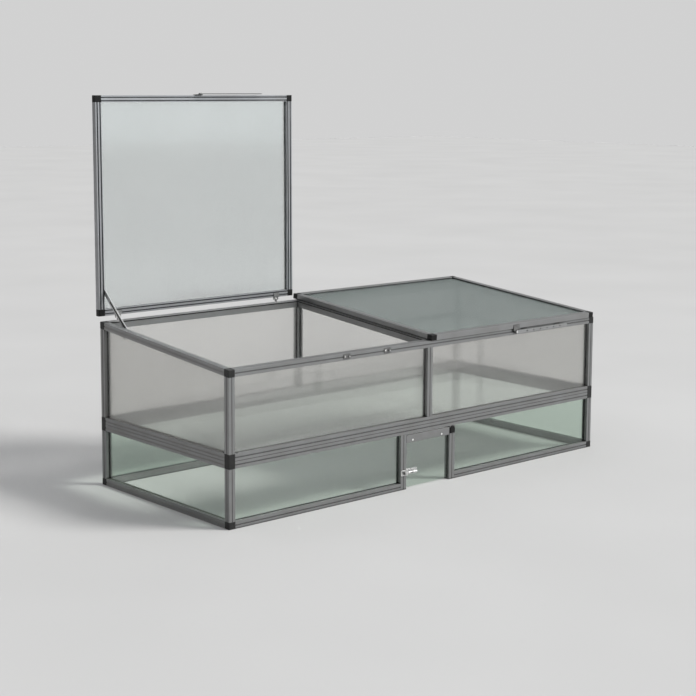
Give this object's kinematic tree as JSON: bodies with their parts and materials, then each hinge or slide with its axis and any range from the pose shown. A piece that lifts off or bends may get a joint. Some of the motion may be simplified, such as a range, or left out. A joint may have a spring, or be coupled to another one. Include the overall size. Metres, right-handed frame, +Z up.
{
  "type": "outdoor pet enclosure",
  "caption": "Two-tier aluminium tortoise run: clear base with a bolted flap door, milky raked upper frame and hinged glazed lids held by slotted struts and casement stays.",
  "frame": {"origin": "on the ground under the middle of the object's box as it stands, left lid raised and right lid shut", "axes": "+X along the front to the right as seen from the front, +Y from the front to the back, +Z up"},
  "size_m": [2.0016, 0.9116, 1.5546],
  "materials": {
    "aluminium": "mill-finish extrusion, softly weathered, fine lines along its length",
    "black_plastic": "moulded, satin",
    "clear_pane": "clear acrylic sheet, slightly green at its edges",
    "twin_wall_pane": "translucent fluted sheet, milky",
    "bright_steel": "bright plated"
  },
  "bodies": {
    "frame": {"base_pane_back": "clear_pane", "base_pane_front_left": "clear_pane", "base_pane_front_right": "clear_pane", "base_pane_left": "clear_pane", "base_pane_right": "clear_pane", "base_post_back_left": "aluminium", "base_post_back_right": "aluminium", "base_post_front_left": "aluminium", "base_post_front_right": "aluminium", "bolt_keep": "bright_steel", "bottom_rail_back": "aluminium", "bottom_rail_front_left": "aluminium", "bottom_rail_front_right": "aluminium", "bottom_rail_left": "aluminium", "bottom_rail_right": "aluminium", "centre_bar": "aluminium", "door_jamb_left": "aluminium", "door_jamb_right": "aluminium", "mid_cap_back_left": "black_plastic", "mid_cap_back_right": "black_plastic", "mid_cap_front_left": "black_plastic", "mid_cap_front_right": "black_plastic", "mid_post_back": "aluminium", "mid_post_front": "aluminium", "mid_rail_back": "aluminium", "mid_rail_front": "aluminium", "mid_rail_left": "aluminium", "mid_rail_right": "aluminium", "top_rail_back": "aluminium", "top_rail_front": "aluminium", "top_rail_left": "aluminium", "top_rail_right": "aluminium", "upper_pane_back_left": "twin_wall_pane", "upper_pane_back_right": "twin_wall_pane", "upper_pane_front_left": "twin_wall_pane", "upper_pane_front_right": "twin_wall_pane", "upper_pane_left": "twin_wall_pane", "upper_pane_right": "twin_wall_pane", "upper_post_back_left": "aluminium", "upper_post_back_right": "aluminium", "upper_post_front_left": "aluminium", "upper_post_front_right": "aluminium"},
    "lid_left": {"lid_left_pane": "twin_wall_pane", "lid_left_rail_back": "aluminium", "lid_left_rail_front": "aluminium", "lid_left_rail_left": "aluminium", "lid_left_rail_right": "aluminium"},
    "lid_right": {"lid_right_pane": "twin_wall_pane", "lid_right_rail_back": "aluminium", "lid_right_rail_front": "aluminium", "lid_right_rail_left": "aluminium", "lid_right_rail_right": "aluminium"},
    "strut_left": {"lid_left_strut": "aluminium"},
    "strut_right": {"lid_right_strut": "aluminium"},
    "stay_left": {"lid_left_stay": "aluminium"},
    "stay_right": {"lid_right_stay": "aluminium"},
    "door": {"door_flap": "clear_pane", "door_hinge_strip": "aluminium", "bolt_body": "bright_steel"},
    "bolt": {"bolt_rod": "bright_steel"}
  },
  "joints": [
    {"name": "left_lid", "type": "hinge", "parent": "frame", "child": "lid_left", "pos_m": [-0.49525, 0.4327, 0.66611], "axis": [-1, 0, 0], "range_deg": [-95.5, 0]},
    {"name": "right_lid", "type": "hinge", "parent": "frame", "child": "lid_right", "pos_m": [0.49525, 0.4327, 0.66611], "axis": [-1, 0, 0], "range_deg": [0, 95.5]},
    {"name": "left_strut", "type": "hinge", "parent": "lid_left", "child": "strut_left", "pos_m": [-0.96045, 0.43192, 0.77012], "axis": [1, 0, 0], "range_deg": [-114.17, 0.01]},
    {"name": "right_strut", "type": "hinge", "parent": "lid_right", "child": "strut_right", "pos_m": [0.96045, 0.32925, 0.65537], "axis": [1, 0, 0], "range_deg": [-0.01, 114.17]},
    {"name": "left_stay", "type": "hinge", "parent": "lid_left", "child": "stay_left", "pos_m": [-0.49525, 0.41959, 1.55049], "axis": [0, -0.0958, -0.9954], "range_deg": [-180, 90]},
    {"name": "right_stay", "type": "hinge", "parent": "lid_right", "child": "stay_right", "pos_m": [0.49525, -0.44635, 0.5683], "axis": [0, 1, 0], "range_deg": [-180, 90]},
    {"name": "door_swing", "type": "hinge", "parent": "frame", "child": "door", "pos_m": [-0.006, -0.4323, 0.2165], "axis": [-1, 0, 0], "range_deg": [0, 100]},
    {"name": "bolt_slide", "type": "slide", "parent": "door", "child": "bolt", "axis": [-1, 0, 0], "range_m": [0, 0.016]}
  ],
  "couplings": [
    {"joint": "left_strut", "follows": "left_lid", "ratio": 1.1953},
    {"joint": "right_strut", "follows": "right_lid", "ratio": 1.1953}
  ]
}
